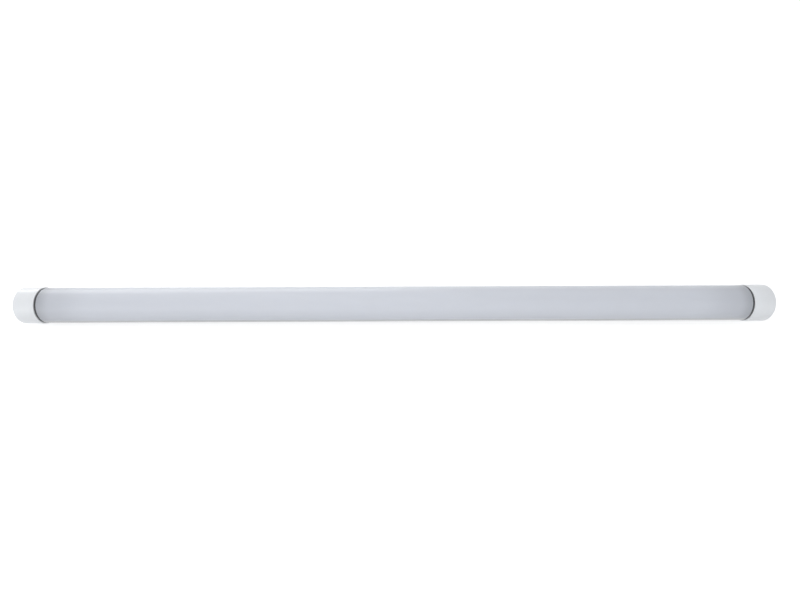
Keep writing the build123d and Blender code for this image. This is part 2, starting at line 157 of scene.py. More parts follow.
SCREW_CORE_R = 0.9 * MM
SCREW_THREAD_R = 1.2 * MM
SCREW_PITCH = 1.1 * MM
SCREW_LENGTH = 25.0 * MM
SCREW_TIP_LENGTH = 3.0 * MM
CROSS_REACH = 1.25 * MM
CROSS_W = 0.45 * MM
CROSS_DEPTH = 0.9 * MM
SCREW_PLAY = 0.2 * MM
THREAD_ROOT = 0.9  # where the ridge starts, as a share of the core's radius, so that it sits in the core
THREAD_HALF_BASE = 0.28  # of the pitch
THREAD_RISE_TURNS = 2  # over which the ridge grows from the tip

INNER_X = FACE_X - END_WALL
RIM_X = BODY_HALF + SEAL_GAP
REGISTER_R = TUBE_R - SEAL_DEPTH
SKIRT_IN_R = REGISTER_R - REGISTER_T
SEAT_X = SCREW_TOP_X - SCREW_HEAD_H

# Meshes
SLIVER = 0.001 * MM  # edges shorter than this come out of a cut mesh
SAME_PLACE = 1e-8  # points of a section that are closer than this are one
FLAT_WITHIN = 0.05  # degrees
SMOOTH_WITHIN = 28  # degrees between two faces, past which their edge is sharp
ARC_STEP = 3.0  # degrees
FINE_ARC_STEP = 1.5
CIRCLE_STEP = 7.5
CAP_SEGMENTS = 160
BORE_SEGMENTS = 64
SMALL_SEGMENTS = 48
THREAD_STEPS = 24  # in a turn

# Camera
PICTURE_W = 800
LENS = 21.375
SENSOR_W = 36.0
CAMERA_DISTANCE = 0.380
CAMERA_ELEVATION = 61.0
CAMERA_ROLL = -0.22
OBJECT_RIGHT_PX = -5.7
OBJECT_DOWN_PX = 4.0

# Painted shade of the cover near its ends
DIM_REACH = 45 * MM
PAINTED_DIM_SHADE = 0.86
PAINTED_END_SHADE = 0.68

# Table and light
TABLE_HALF = 4.0
TABLE_COLOUR = 0.62
TABLE_GLOW = 0.62  # what it is brightened by near the tube
TABLE_GLOW_FAR = 0.80
GLOW_NEAR_EDGE = 0.35  # how far from the middle of the tube the change starts and ends
GLOW_FAR_EDGE = 1.1
SKY_COLOUR = (0.95, 0.968, 1.0)
SKY_STRENGTH = 0.57
SKY_LEAN = (-0.32, -0.28, 0.05)  # how much the strength grows towards +X, +Y and +Z


# Node helpers


class Nodes:
    """A new material with a Principled shader, and short ways to add and join nodes."""

    def __init__(self, name):
        self.material = bpy.data.materials.new(name)
        self.material.use_nodes = True
        self.tree = self.material.node_tree
        self.shader = self.tree.nodes["Principled BSDF"]
        self.coordinates = self.add("ShaderNodeTexCoord").outputs["Object"]

    def add(self, kind, **values):
        node = self.tree.nodes.new(kind)
        for key, value in values.items():
            setattr(node, key, value)
        return node

    def join(self, output, socket):
        self.tree.links.new(output, socket)

    def constant(self, **values):
        """Values on the shader's own sockets, such as Coat_Weight=0.2."""
        for key, value in values.items():
            self.shader.inputs[key.replace("_", " ")].default_value = value

    def stretched(self, scale):
        """Object coordinates multiplied by scale along X, Y and Z."""
        mapping = self.add("ShaderNodeMapping")
        mapping.inputs["Scale"].default_value = scale
        self.join(self.coordinates, mapping.inputs["Vector"])
        return mapping.outputs["Vector"]

    def noise(self, scale, detail=3.0, stretch=(1, 1, 1)):
        texture = self.add("ShaderNodeTexNoise")
        texture.inputs["Scale"].default_value = scale
        texture.inputs["Detail"].default_value = detail
        self.join(self.stretched(stretch), texture.inputs["Vector"])
        return texture.outputs["Fac"]

    def spread(self, value, low, high):
        """The value from 0.3 to 0.7, where a noise mostly lies, spread from low to high."""
        node = self.add("ShaderNodeMapRange")
        node.inputs["From Min"].default_value = 0.3
        node.inputs["From Max"].default_value = 0.7
        node.inputs["To Min"].default_value = low
        node.inputs["To Max"].default_value = high
        self.join(value, node.inputs["Value"])
        return node.outputs["Result"]

    def ramp(self, value, start, end, low=0.0, high=1.0):
        """Low up to start and high from end on, with a smooth change between them."""
        node = self.add("ShaderNodeMapRange", interpolation_type="SMOOTHSTEP")
        node.inputs["From Min"].default_value = start
        node.inputs["From Max"].default_value = end
        node.inputs["To Min"].default_value = low
        node.inputs["To Max"].default_value = high
        self.join(value, node.inputs["Value"])
        return node.outputs["Result"]

    def distance_along(self):
        """How far a point is from the middle of the tube, along its axis."""
        axes = self.add("ShaderNodeSeparateXYZ")
        self.join(self.coordinates, axes.inputs["Vector"])
        node = self.add("ShaderNodeMath", operation="ABSOLUTE")
        self.join(axes.outputs["X"], node.inputs[0])
        return node.outputs["Value"]

    def blend(self, value, colour_a, colour_b):
        """A colour between the two as the value goes from 0 to 1. Each is a tuple or a node's output."""
        node = self.add("ShaderNodeMix", data_type="RGBA")
        first, second = [socket for socket in node.inputs if socket.type == "RGBA"]
        for socket, colour in ((first, colour_a), (second, colour_b)):
            if isinstance(colour, tuple):
                socket.default_value = (*colour, 1)
            else:
                self.join(colour, socket)
        self.join(value, node.inputs["Factor"])
        return next(output for output in node.outputs if output.type == "RGBA")

    def vary(self, value, colour, darkest, lightest):
        """The colour made darker or lighter, between those factors, by a noise."""
        return self.blend(self.spread(value, 0, 1), shaded(colour, darkest), shaded(colour, lightest))

    def bump(self, height, distance, strength, under=None):
        """A normal bumped by the height, on top of the bump under it."""
        node = self.add("ShaderNodeBump")
        node.inputs["Strength"].default_value = strength
        node.inputs["Distance"].default_value = distance
        self.join(height, node.inputs["Height"])
        if under is not None:
            self.join(under, node.inputs["Normal"])
        return node.outputs["Normal"]

    def paint(self, colour, roughness, normal):
        self.join(colour, self.shader.inputs["Base Color"])
        self.join(roughness, self.shader.inputs["Roughness"])
        self.join(normal, self.shader.inputs["Normal"])
        return self.material


def background_rays(tree):
    """1 for rays that see the white surroundings: from the camera, mirrored in gloss, or let through."""
    path = tree.nodes.new("ShaderNodeLightPath")
    seen = path.outputs["Is Camera Ray"]
    for name in ("Is Glossy Ray", "Is Transmission Ray"):
        either = tree.nodes.new("ShaderNodeMath")
        either.operation = "MAXIMUM"
        tree.links.new(seen, either.inputs[0])
        tree.links.new(path.outputs[name], either.inputs[1])
        seen = either.outputs["Value"]
    return seen


def shaded(colour, factor):
    """The colour multiplied by the factor."""
    return tuple(channel * factor for channel in colour)


# Materials


def milky_cover():
    """Extruded opal polycarbonate: satin, faintly drawn lengthways, with light scattered under the skin.

    Near its ends, where the board stops and the tongue of the cap lies behind it, a painted shade darkens
    its colour.
    """
    n = Nodes("milky_cover")
    colour = (0.61, 0.63, 0.675)
    clouds = n.noise(scale=18, stretch=(0.25, 1, 1))
    draw_lines = n.noise(scale=900, detail=2, stretch=(0.004, 1, 1))
    grain = n.noise(scale=6000, detail=2)
    normal = n.bump(draw_lines, distance=0.00002, strength=0.35)
    normal = n.bump(grain, distance=0.000005, strength=0.3, under=normal)
    n.constant(Subsurface_Weight=0.35, Subsurface_Scale=0.002, IOR=1.58, Specular_IOR_Level=0.25)
    n.shader.inputs["Subsurface Radius"].default_value = (1.0, 0.95, 0.9)
    along = n.distance_along()
    tone = n.vary(clouds, colour, darkest=0.985, lightest=1.015)
    # painted shade: the colour darkens over the last DIM_REACH before each end
    painted_dimming = n.ramp(along, BODY_HALF - DIM_REACH, BODY_HALF - TONGUE_REACH)
    tone = n.blend(painted_dimming, tone, shaded(colour, PAINTED_DIM_SHADE))
    # painted shade: a deeper darkening close to each end, where the cap's tongue lies behind the cover
    end = n.ramp(along, BODY_HALF - 2 * TONGUE_REACH, BODY_HALF)
    tone = n.blend(end, tone, shaded(colour, PAINTED_END_SHADE))
    return n.paint(tone, n.spread(draw_lines, low=0.30, high=0.38), normal)


def extruded_aluminium():
    """Mill-finish extrusion: fine die lines along the tube, with faint cloudy stains."""
    n = Nodes("aluminium")
    colour = (0.45, 0.455, 0.465)
    die_lines = n.noise(scale=2200, detail=4, stretch=(0.002, 1, 1))
    broad_lines = n.noise(scale=420, detail=2, stretch=(0.003, 1, 1))
    clouds = n.noise(scale=30, detail=4, stretch=(0.4, 1, 1))
    normal = n.bump(die_lines, distance=0.00003, strength=0.5)
    normal = n.bump(broad_lines, distance=0.00004, strength=0.3, under=normal)
    n.constant(Metallic=1.0, Anisotropic=0.4)
    return n.paint(
        n.vary(clouds, colour, darkest=0.94, lightest=1.05),
        n.spread(die_lines, low=0.30, high=0.46),
        normal,
    )


def moulded_plastic(name, colour, roughness=(0.28, 0.38), grain_scale=2500, depth=0.00001, coat=0.1):
    """An injection-moulded plastic: faint flow clouds and a fine spark-eroded grain."""
    n = Nodes(name)
    flow = n.noise(scale=60, detail=3)
    grain = n.noise(grain_scale, detail=3)
    ripple = n.noise(scale=220, detail=1)
    normal = n.bump(ripple, distance=0.00003, strength=0.25)
    normal = n.bump(grain, distance=depth, strength=0.4, under=normal)
    n.constant(IOR=1.5, Coat_Weight=coat, Coat_Roughness=0.2)
    return n.paint(
        n.vary(flow, colour, darkest=0.97, lightest=1.02),
        n.spread(grain, *roughness),
        normal,
    )


def plated_metal(name, colour, roughness=(0.16, 0.30), lines=(1, 1, 1)):
    """A bright plated metal, turned or drawn, with fine tool marks and light wear."""
    n = Nodes(name)
    marks = n.noise(scale=5200, detail=3, stretch=lines)
    wear = n.noise(scale=700, detail=4)
    normal = n.bump(marks, distance=0.000008, strength=0.5)
    n.constant(Metallic=1.0)
    return n.paint(
        n.vary(wear, colour, darkest=0.88, lightest=1.04),
        n.spread(wear, *roughness),
        normal,
    )


def laminate(name, colour):
    """A circuit board under solder resist: glass weave shows faintly through the lacquer."""
    n = Nodes(name)
    weave_x = n.noise(scale=1500, detail=1, stretch=(0.1, 1, 1))
    weave_y = n.noise(scale=1500, detail=1, stretch=(1, 0.1, 1))
    mottle = n.noise(scale=90, detail=4)
    normal = n.bump(weave_x, distance=0.00001, strength=0.3)
    normal = n.bump(weave_y, distance=0.00001, strength=0.3, under=normal)
    n.constant(Coat_Weight=0.3, Coat_Roughness=0.15)
    return n.paint(
        n.vary(mottle, colour, darkest=0.92, lightest=1.04),
        n.spread(weave_x, low=0.30, high=0.42),
        normal,
    )


def sintered(name, colour):
    """Ferrite: dull, dark and slightly pitted."""
    n = Nodes(name)
    pits = n.noise(scale=2600, detail=5)
    clouds = n.noise(scale=160, detail=3)
    return n.paint(
        n.vary(clouds, colour, darkest=0.8, lightest=1.2),
        n.spread(pits, low=0.45, high=0.62),
        n.bump(pits, distance=0.00004, strength=0.6),
    )


def wound_copper(name, colour):
    """Enamelled wire laid in turns round a bobbin that lies along the tube."""
    n = Nodes(name)
    turns = n.add("ShaderNodeTexWave", wave_type="BANDS", bands_direction="X")
    turns.inputs["Scale"].default_value = 700
    turns.inputs["Distortion"].default_value = 0.6
    turns.inputs["Detail Scale"].default_value = 40
    n.join(n.coordinates, turns.inputs["Vector"])
    tint = n.noise(scale=400, detail=2)
    n.constant(Metallic=1.0, Coat_Weight=0.5, Coat_Roughness=0.1)
    return n.paint(
        n.vary(tint, colour, darkest=0.85, lightest=1.1),
        n.spread(tint, low=0.22, high=0.34),
        n.bump(turns.outputs["Fac"], distance=0.00012, strength=0.7),
    )


def all_materials():
    """One material for each slot of the record."""
    return {
        "aluminium": extruded_aluminium(),
        "milky_cover": milky_cover(),
        "cap_plastic": moulded_plastic("cap_plastic", (0.76, 0.775, 0.79)),
        "pin_metal": plated_metal("pin_metal", (0.58, 0.565, 0.53), lines=(0.2, 1, 1)),
        "seal_rubber": moulded_plastic(
            "seal_rubber", (0.055, 0.056, 0.06), roughness=(0.5, 0.65), grain_scale=5000, coat=0.0
        ),
        "screw_steel": plated_metal("screw_steel", (0.47, 0.47, 0.48), roughness=(0.25, 0.42)),
        "board_white": laminate("board_white", (0.80, 0.80, 0.77)),
        "led_housing": moulded_plastic("led_housing", (0.86, 0.86, 0.83)),
        "phosphor": moulded_plastic("phosphor", (0.80, 0.62, 0.10), roughness=(0.35, 0.5), depth=0.00002),
        "sleeve": moulded_plastic("sleeve", (0.72, 0.74, 0.70), roughness=(0.15, 0.28), coat=0.4),
        "circuit_board": laminate("circuit_board", (0.045, 0.16, 0.06)),
        "fuse_body": moulded_plastic("fuse_body", (0.03, 0.03, 0.032)),
        "varistor_coat": moulded_plastic("varistor_coat", (0.02, 0.06, 0.26), coat=0.5),
        "film_block": moulded_plastic("film_block", (0.55, 0.40, 0.03)),
        "ferrite": sintered("ferrite", (0.035, 0.035, 0.038)),
        "bobbin_plastic": moulded_plastic("bobbin_plastic", (0.03, 0.03, 0.03)),
        "copper": wound_copper("copper", (0.75, 0.30, 0.12)),
        "black_package": moulded_plastic(
            "black_package", (0.02, 0.02, 0.022), roughness=(0.4, 0.55), coat=0.0
        ),
        "capacitor_can": moulded_plastic(
            "capacitor_can", (0.05, 0.07, 0.11), roughness=(0.2, 0.3), coat=0.4
        ),
        "resistor_body": moulded_plastic("resistor_body", (0.03, 0.03, 0.035)),
        "wire_brown": moulded_plastic("wire_brown", (0.14, 0.05, 0.02)),
        "wire_blue": moulded_plastic("wire_blue", (0.02, 0.07, 0.36)),
        "wire_red": moulded_plastic("wire_red", (0.42, 0.015, 0.012)),
        "wire_black": moulded_plastic("wire_black", (0.02, 0.02, 0.02)),
        "wire_white": moulded_plastic("wire_white", (0.70, 0.70, 0.67)),
    }


MATERIALS = all_materials()


# Geometry helpers


def mesh_piece(name, mesh, slot_name, nodes):
    """A piece of the object made from a mesh in the row frame. It stands for the CAD nodes named."""
    mesh.shade_smooth()
    mesh.set_sharp_from_angle(angle=radians(SMOOTH_WITHIN))
    piece = bpy.data.objects.new(name, mesh)
    bpy.context.scene.collection.objects.link(piece)
    piece.data.materials.clear()
    piece.data.materials.append(MATERIALS[slot_name])
    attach(piece, "root")
    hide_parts(*nodes)


def arc(radius, start, end, step=ARC_STEP, centre=(0, 0)):
    """Points of an arc in the (y, z) plane, from start to end in degrees."""
    count = max(2, round(abs(end - start) / step) + 1)
    angles = [radians(start + (end - start) * i / (count - 1)) for i in range(count)]
    return [(centre[0] + radius * cos(a), centre[1] + radius * sin(a)) for a in angles]


def circle(radius, centre):
    """The outline of a circle in the (y, z) plane, counter-clockwise."""
    return arc(radius, 0, 360 - CIRCLE_STEP, CIRCLE_STEP, centre)


def rectangle(y_in, y_out, z_low, z_high):
    """The outline of a rectangle in the (y, z) plane, counter-clockwise."""
    return [(y_in, z_low), (y_out, z_low), (y_out, z_high), (y_in, z_high)]


def both_sides(outline):
    """The outline and its mirror image across the middle of the tube, both counter-clockwise."""
    return [outline, [(-y, z) for y, z in reversed(outline)]]


def prism(solid_outlines, cut_outlines, x_start, x_end):
    """A mesh along X whose section is the union of the first outlines, less the second ones."""
    outlines = solid_outlines + cut_outlines
    points, faces = [], []
    for outline in outlines:
        faces.append(list(range(len(points), len(points) + len(outline))))
        points += [Vector(point) for point in outline]
    places, _, triangles, _, _, inside = delaunay_2d_cdt(points, [], faces, 0, SAME_PLACE)
    first_cut = len(solid_outlines)
    kept = [
        triangle for triangle, holders in zip(triangles, inside) if holders and max(holders) < first_cut
    ]
    shape = bmesh.new()
    corners = [shape.verts.new((x_start, place.x, place.y)) for place in places]
    for triangle in kept:
        shape.faces.new([corners[i] for i in triangle])
    for loose in [corner for corner in shape.verts if not corner.link_faces]:
        shape.verts.remove(loose)
    bmesh.ops.dissolve_limit(shape, angle_limit=radians(FLAT_WITHIN), verts=shape.verts, edges=shape.edges)
    swept = bmesh.ops.extrude_face_region(shape, geom=shape.faces[:])["geom"]
    moved = [item for item in swept if isinstance(item, bmesh.types.BMVert)]
    bmesh.ops.translate(shape, verts=moved, vec=(x_end - x_start, 0, 0))
    bmesh.ops.recalc_face_normals(shape, faces=shape.faces[:])
    mesh = bpy.data.meshes.new("prism")
    shape.to_mesh(mesh)
    shape.free()
    return mesh


def lathe(profile, centre=(0, 0), segments=SMALL_SEGMENTS):
    """A closed solid turned about a line along X through centre. The profile is a list of (x, radius)."""
    shape = bmesh.new()
    rings = []
    for x, radius in profile:
        if radius == 0:
            rings.append([shape.verts.new((x, *centre))])
            continue
        turn = [2 * pi * i / segments for i in range(segments)]
        places = [(x, centre[0] + radius * cos(a), centre[1] + radius * sin(a)) for a in turn]
        rings.append([shape.verts.new(place) for place in places])
    for a, b in zip(rings, rings[1:] + rings[:1]):
        for i in range(segments):
            j = (i + 1) % segments
            corners = [a[i % len(a)], a[j % len(a)], b[j % len(b)], b[i % len(b)]]
            corners = list(dict.fromkeys(corners))
            if len(corners) > 2:
                shape.faces.new(corners)
    bmesh.ops.recalc_face_normals(shape, faces=shape.faces[:])
    mesh = bpy.data.meshes.new("lathe")
    shape.to_mesh(mesh)
    shape.free()
    return mesh


def joined(meshes):
    """One mesh that holds several."""
    shape = bmesh.new()
    for mesh in meshes:
        shape.from_mesh(mesh)
    result = bpy.data.meshes.new("joined")
    shape.to_mesh(result)
    shape.free()
    return result


def mirrored(mesh):
    """A copy of the mesh at the other end of the tube."""
    copy = mesh.copy()
    copy.transform(Matrix.Scale(-1, 4, (1, 0, 0)))
    copy.flip_normals()
    return copy


def solid_sum(mesh, others, operation):
    """The mesh with the others added (UNION) or cut away (DIFFERENCE)."""
    scene_objects = bpy.context.scene.collection.objects
    holder = bpy.data.objects.new("holder", mesh)
    scene_objects.link(holder)
    helpers = []
    for other in others:
        helper = bpy.data.objects.new("helper", other)
        scene_objects.link(helper)
        helpers.append(helper)
        step = holder.modifiers.new("sum", "BOOLEAN")
        step.operation = operation
        step.solver = "EXACT"
        step.object = helper
    evaluated = holder.evaluated_get(bpy.context.evaluated_depsgraph_get())
    result = bpy.data.meshes.new_from_object(evaluated)
    for item in [holder, *helpers]:
        bpy.data.objects.remove(item)
    shape = bmesh.new()
    shape.from_mesh(result)
    bmesh.ops.dissolve_degenerate(shape, dist=SLIVER, edges=shape.edges[:])
    shape.to_mesh(result)
    shape.free()
    return result


# The tube's body


def fin_outline():
    """The finned underside of the heat sink: an arc, its outside notched by grooves between the fins."""
    first = -90 - FIN_GROOVE_ARC / 2
    pitch = FIN_GROOVE_ARC / (FIN_GROOVE_COUNT - 1)
    half_notch = FIN_GROOVE_W / 2
    root_r = TUBE_R - FIN_DEPTH
    half_angle = degrees(half_notch / TUBE_R)
    end_angle = degrees(SEAM_Z / TUBE_R)
    points, here = [], -180 - end_angle
    for place in range(FIN_GROOVE_COUNT):
        middle = first + place * pitch
        points += arc(TUBE_R, here, middle - half_angle)
        out = Vector((cos(radians(middle)), sin(radians(middle))))
        across = Vector((-out.y, out.x))
        points += [tuple(out * root_r + across * reach) for reach in (-half_notch, half_notch)]
        here = middle + half_angle
    points += arc(TUBE_R, here, end_angle)
    return points + arc(TROUGH_R, end_angle, -180 - end_angle)


def heat_sink():
    """The aluminium extrusion: fins, grooves for the cover's hooks, a shelf, board rails, screw ports."""
    groove_out_y = HOOK_TIP_Y - HOOK_TIP_PLAY
    groove_in_y = groove_out_y - GROOVE_WALL_T
    shelf_low_z = SEAM_Z + HOOK_T + 2 * HOOK_PLAY
    shelf_top_z = shelf_low_z + SHELF_T
    shelf_edge_y = COVER_IN_R - SHELF_PLAY
    rail_in_y = BOARD_W / 2 + BOARD_SIDE_PLAY
    lip_z = shelf_top_z + BOARD_T + BOARD_TOP_PLAY
    half_slot = PORT_SLOT_W / 2
    slot_in_y = PORT_Y - PORT_R - PORT_SLOT_W
    solids = [fin_outline(), rectangle(-shelf_edge_y, shelf_edge_y, shelf_low_z, shelf_top_z)]
    solids += both_sides(rectangle(groove_in_y, TUBE_R - FIN_DEPTH, FLANGE_LOW_Z, SEAM_Z))
    solids += both_sides(rectangle(groove_in_y, groove_out_y, SEAM_Z, shelf_low_z))
    solids += both_sides(rectangle(rail_in_y, rail_in_y + RAIL_T, shelf_top_z, lip_z + RAIL_LIP_T))
    solids += both_sides(rectangle(rail_in_y - RAIL_LIP_REACH, rail_in_y, lip_z, lip_z + RAIL_LIP_T))
    solids += both_sides(circle(PORT_R, (PORT_Y, PORT_Z)))
    cuts = both_sides(circle(PORT_BORE_R, (PORT_Y, PORT_Z)))
    cuts += both_sides(rectangle(slot_in_y, PORT_Y, PORT_Z - half_slot, PORT_Z + half_slot))
    mesh = prism(solids, cuts, -BODY_HALF, BODY_HALF)
    mesh_piece("finned_heat_sink", mesh, "aluminium", ["heat_sink"])


def cover():
    """The milky cover: a little over half round, with a hook along each long edge."""
    low_z = SEAM_Z + HOOK_PLAY
    high_z = low_z + HOOK_T
    start = degrees(low_z / TUBE_R)
    end = 180 - start
    shell = arc(TUBE_R, start, end, FINE_ARC_STEP) + arc(COVER_IN_R, end, start, FINE_ARC_STEP)
    hooks = both_sides(rectangle(HOOK_TIP_Y, TUBE_R - COVER_WALL / 2, low_z, high_z))
    mesh = prism([shell, *hooks], [], -BODY_HALF, BODY_HALF)
    mesh_piece("opal_cover", mesh, "milky_cover", ["diffuser"])


# End caps


def rounded_corner(x, radius, edge_r, steps=8, face_first=False):
    """Points of a convex rounding where a cylinder of that radius meets the face at x.

    The face ends the cylinder towards +X. With face_first it starts the cylinder instead.
    """
    way = -1 if face_first else 1
    turn = [pi / 2 * i / steps for i in range(steps + 1)]
    points = [(x - way * edge_r * (1 - sin(a)), radius - edge_r * (1 - cos(a))) for a in turn]
    return points[::way]


def cap_mesh():
    """The right end's cap: a cup with a register ring, a tongue, two screw pillars and a pin barrier."""
    into_wall = INNER_X + END_WALL / 2
    cup = lathe(
        [
            (BODY_HALF, SKIRT_IN_R),
            (BODY_HALF, REGISTER_R),
            (RIM_X, REGISTER_R),
            *rounded_corner(RIM_X, CAP_R, RIM_EDGE_R, 4, face_first=True),
            *rounded_corner(FACE_X, CAP_R, CAP_EDGE_R),
            (FACE_X, 0),
            (INNER_X, 0),
            (INNER_X, SKIRT_IN_R),
        ],
        segments=CAP_SEGMENTS,
    )
    pillar = [(BODY_HALF, 0), (BODY_HALF, PILLAR_R), (into_wall, PILLAR_R), (into_wall, 0)]
    pillars = [lathe(pillar, (side * PORT_Y, PORT_Z)) for side in (-1, 1)]
    tongue_r = COVER_IN_R - TONGUE_PLAY
    tongue_in_r = tongue_r - TONGUE_T
    start = degrees(TONGUE_BASE_Z / tongue_r)
    tongue_outline = arc(tongue_r, start, 180 - start) + arc(tongue_in_r, 180 - start, start)
    tongue = prism([tongue_outline], [], BODY_HALF - TONGUE_REACH, into_wall)
    half_t = BARRIER_T / 2
    half_h = BARRIER_H / 2
    barrier = prism([rectangle(-half_t, half_t, -half_h, half_h)], [], INNER_X - BARRIER_REACH, into_wall)
    body = solid_sum(cup, [*pillars, tongue, barrier], "UNION")
    past = FACE_X + END_WALL
    before = BODY_HALF - END_WALL
    recess_r = SCREW_HEAD_R + SCREW_PLAY
    bore = [
        (before, 0),
        (before, PILLAR_BORE_R),
        (SEAT_X, PILLAR_BORE_R),
        (SEAT_X, recess_r),
        (past, recess_r),
        (past, 0),
    ]
    bores = [lathe(bore, (side * PORT_Y, PORT_Z), BORE_SEGMENTS) for side in (-1, 1)]
    inside = INNER_X - END_WALL
    hole_r = PIN_STEM_R + PIN_PLAY
    hole = [(inside, 0), (inside, hole_r), (past, hole_r), (past, 0)]
    holes = [lathe(hole, (side * PIN_Y, 0)) for side in (-1, 1)]
    return solid_sum(body, [*bores, *holes], "DIFFERENCE")


def end_caps():
    """The right cap and its mirror image at the left end."""
    right = cap_mesh()
    left = mirrored(right)
    mesh_piece("moulded_cap_right", right, "cap_plastic", ["end_cap_right"])
    mesh_piece("moulded_cap_left", left, "cap_plastic", ["end_cap_left"])


def seal_rings():
    """A dark elastomer ring with soft edges in the groove between each cap and the tube."""
    start_x = BODY_HALF + SEAL_PLAY
    end_x = RIM_X - SEAL_PLAY
    right = lathe(
        [
            (start_x, REGISTER_R + SEAL_PLAY),
            *rounded_corner(start_x, SEAL_R, SEAL_ROUND, 4, face_first=True),
            *rounded_corner(end_x, SEAL_R, SEAL_ROUND, 4),
            (end_x, REGISTER_R + SEAL_PLAY),
        ],
        segments=CAP_SEGMENTS,
    )
    left = mirrored(right)
    mesh_piece("soft_seal_rings", joined([right, left]), "seal_rubber", ["seal_rings"])


def contact_pins():
    """Hollow pins with a rounded tip, each with a short stem in the cap's wall."""
    tail_x = pin_low.x
    bore_end_x = PIN_END_X - PIN_TIP_WALL
    for row, side in (("front", -1), ("rear", 1)):
        mesh = lathe(
            [
                (tail_x, PIN_BORE_R),
                (tail_x, PIN_STEM_R),
                (FACE_X, PIN_STEM_R),
                (FACE_X, PIN_R),
                *rounded_corner(PIN_END_X, PIN_R, PIN_TIP_R),
                (PIN_END_X, 0),
                (bore_end_x, 0),
                (bore_end_x, PIN_BORE_R),
            ],
            (side * PIN_Y, 0),
        )
        left = mirrored(mesh)
        mesh_piece(f"turned_pin_right_{row}", mesh, "pin_metal", [f"pin_right_{row}"])
        mesh_piece(f"turned_pin_left_{row}", left, "pin_metal", [f"pin_left_{row}"])


def screw_mesh(centre):
    """A pan-headed self-tapping screw at the right end: a cross recess, a coarse thread and a point."""
    tip_x = SEAT_X - SCREW_LENGTH
    core = lathe(
        [
            (tip_x, 0),
            (tip_x + SCREW_TIP_LENGTH, SCREW_CORE_R),
            (SEAT_X, SCREW_CORE_R),
            (SEAT_X, SCREW_HEAD_R),
            *rounded_corner(SCREW_TOP_X, SCREW_HEAD_R, SCREW_HEAD_EDGE, 6),
            (SCREW_TOP_X, 0),
        ],
        centre,
    )
    bars = []
    for half_y, half_z in ((CROSS_REACH, CROSS_W / 2), (CROSS_W / 2, CROSS_REACH)):
        outline = rectangle(centre[0] - half_y, centre[0] + half_y, centre[1] - half_z, centre[1] + half_z)
        bars.append(prism([outline], [], SCREW_TOP_X - CROSS_DEPTH, SCREW_TOP_X + CROSS_DEPTH))
    return joined([solid_sum(core, bars, "DIFFERENCE"), thread_mesh(centre, tip_x)])


def thread_mesh(centre, tip_x):
    """The screw's thread: a ridge with a pointed crest, wound round the core from the tip to the seat."""
    start_x = tip_x + SCREW_TIP_LENGTH / 2
    turns = (SEAT_X - SCREW_PITCH / 2 - start_x) / SCREW_PITCH
    count = int(turns * THREAD_STEPS)
    shape = bmesh.new()
    rows = []
    for i in range(count + 1):
        angle = 2 * pi * i / THREAD_STEPS
        x = start_x + SCREW_PITCH * i / THREAD_STEPS
        out = Vector((0, cos(angle), sin(angle)))
        middle = Vector((x, *centre))
        grow = min(1, i / THREAD_STEPS / THREAD_RISE_TURNS, (count - i) / THREAD_STEPS)
        root = THREAD_ROOT * SCREW_CORE_R * min(1, (x - tip_x) / SCREW_TIP_LENGTH)
        crest = root + (SCREW_THREAD_R - root) * grow
        half_base = SCREW_PITCH * THREAD_HALF_BASE
        rows.append(
            [
                shape.verts.new(middle + out * root + Vector((-half_base, 0, 0))),
                shape.verts.new(middle + out * crest),
                shape.verts.new(middle + out * root + Vector((half_base, 0, 0))),
            ]
        )
    for a, b in zip(rows, rows[1:]):
        for i in range(3):
            j = (i + 1) % 3
            shape.faces.new([a[i], a[j], b[j], b[i]])
    shape.faces.new(rows[0])
    shape.faces.new(rows[-1])
    bmesh.ops.recalc_face_normals(shape, faces=shape.faces[:])
    mesh = bpy.data.meshes.new("thread")
    shape.to_mesh(mesh)
    shape.free()
    return mesh


def cap_screws():
    """Two screws in each cap, as one piece."""
    right = [screw_mesh((side * PORT_Y, PORT_Z)) for side in (-1, 1)]
    left = [mirrored(mesh) for mesh in right]
    mesh_piece("cross_screws", joined(right + left), "screw_steel", ["cap_screws"])


# Inner pieces keep their CAD shape


def paint_inner_nodes():
    """Gives each CAD node that stays its own detailed material."""
    for entry in frame["record"]["subparts"]:
        node = frame["nodes"][entry["node"]]
        node.data.materials.clear()
        node.data.materials.append(MATERIALS[entry["material_slot"]])


# Ground, light and camera


def ground():
    """A white table that takes the tube's shadow. What the camera and the gloss see of it is brightened."""
    low_z = cad_bounds[0][2]
    half = TABLE_HALF
    corners = [(-half, -half, low_z), (half, -half, low_z), (half, half, low_z), (-half, half, low_z)]
    mesh = bpy.data.meshes.new("table")
    mesh.from_pydata(corners, [], [(0, 1, 2, 3)])
    table = bpy.data.objects.new("table", mesh)
    bpy.context.scene.collection.objects.link(table)
    n = Nodes("white_table")
    grey = (TABLE_COLOUR, TABLE_COLOUR, TABLE_COLOUR)
    paper = n.noise(scale=300, detail=3)
    n.paint(
        n.vary(paper, grey, darkest=0.99, lightest=1.01),
        n.spread(paper, low=0.7, high=0.85),
        n.bump(paper, distance=0.0001, strength=0.1),
    )
    n.constant(Specular_IOR_Level=0.1)
    n.shader.inputs["Emission Color"].default_value = (1, 1, 1, 1)
    away = n.add("ShaderNodeVectorMath", operation="LENGTH")
    n.join(n.coordinates, away.inputs[0])
    glow = n.ramp(away.outputs["Value"], GLOW_NEAR_EDGE, GLOW_FAR_EDGE, TABLE_GLOW, TABLE_GLOW_FAR)
    seen = n.add("ShaderNodeMath", operation="MULTIPLY")
    n.join(glow, seen.inputs[0])
    n.join(background_rays(n.tree), seen.inputs[1])
    n.join(seen.outputs["Value"], n.shader.inputs["Emission Strength"])
    mesh.materials.append(n.material)


